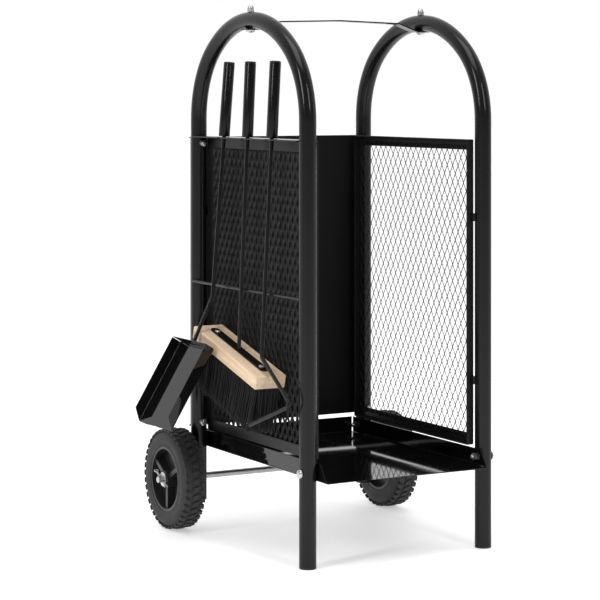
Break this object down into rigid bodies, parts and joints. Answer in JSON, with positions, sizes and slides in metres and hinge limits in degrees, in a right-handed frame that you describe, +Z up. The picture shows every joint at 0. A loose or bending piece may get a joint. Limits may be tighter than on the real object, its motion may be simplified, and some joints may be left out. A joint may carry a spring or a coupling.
{
  "type": "firewood log rack",
  "caption": "Wheeled steel log rack with a folded tray, mesh sides and back panel, and a hanging shovel, brush and poker.",
  "frame": {"origin": "on the floor, under the middle of the whole rack's outer box, wheels and tools included", "axes": "+X across the rack from the tool side to the other side, +Y from the open front to the wheels, +Z up"},
  "size_m": [0.4998, 0.459, 0.81],
  "materials": {
    "black_powder_coat": "gloss powder coat with a slight orange peel",
    "glossy_black_sheet": "high gloss black paint",
    "satin_black_steel": "satin black paint",
    "bright_zinc": "bright zinc plate",
    "zinc_rod": "zinc-plated bar",
    "tyre_rubber": "matt black rubber",
    "hub_plastic": "satin black moulding",
    "black_plastic": "satin black moulding",
    "beech": "pale unvarnished beech",
    "black_bristle": "black bristles"
  },
  "bodies": {
    "frame": {"left_arch": "black_powder_coat", "right_arch": "black_powder_coat", "front_foot_caps": "black_plastic", "rear_leg_plugs": "black_plastic", "left_mesh_frame": "satin_black_steel", "left_mesh": "satin_black_steel", "right_mesh_frame": "satin_black_steel", "right_mesh": "satin_black_steel", "mesh_frame_tabs": "satin_black_steel", "back_panel": "glossy_black_sheet", "log_tray": "glossy_black_sheet", "tool_ledge": "black_powder_coat", "tool_rest_bar": "black_powder_coat", "carry_strap": "black_powder_coat", "tray_bolts": "bright_zinc", "tray_nuts": "bright_zinc", "panel_bolts": "bright_zinc", "panel_nuts": "bright_zinc", "strap_bolts": "bright_zinc", "strap_nuts": "bright_zinc", "axle": "zinc_rod", "axle_washers": "bright_zinc", "split_pins": "bright_zinc"},
    "left_wheel": {"left_tyre": "tyre_rubber", "left_wheel_hub": "hub_plastic"},
    "right_wheel": {"right_tyre": "tyre_rubber", "right_wheel_hub": "hub_plastic"},
    "shovel": {"shovel_grip": "black_powder_coat", "shovel_grip_cap": "black_plastic", "shovel_rod": "black_powder_coat", "shovel_pan": "glossy_black_sheet"},
    "brush": {"brush_grip": "black_powder_coat", "brush_grip_cap": "black_plastic", "brush_rod": "black_powder_coat", "brush_plate": "black_powder_coat", "brush_screws": "bright_zinc", "brush_block": "beech", "brush_bristles": "black_bristle"},
    "poker": {"poker_grip": "black_powder_coat", "poker_grip_cap": "black_plastic", "poker_rod": "black_powder_coat"}
  },
  "joints": [
    {"name": "left_wheel_spin", "type": "hinge", "parent": "frame", "child": "left_wheel", "pos_m": [-0.16334, 0.1515, 0.078], "axis": [1, 0, 0], "continuous": true},
    {"name": "right_wheel_spin", "type": "hinge", "parent": "frame", "child": "right_wheel", "pos_m": [0.21986, 0.1515, 0.078], "axis": [1, 0, 0], "continuous": true},
    {"name": "brush_lift", "type": "slide", "parent": "frame", "child": "brush", "axis": [-0.7071, 0, 0.7071], "range_m": [0, 0.2]},
    {"name": "shovel_lift", "type": "slide", "parent": "brush", "child": "shovel", "axis": [-0.7071, 0, 0.7071], "range_m": [0, 0.2]},
    {"name": "poker_lift", "type": "slide", "parent": "brush", "child": "poker", "axis": [-0.7071, 0, 0.7071], "range_m": [0, 0.2]}
  ]
}
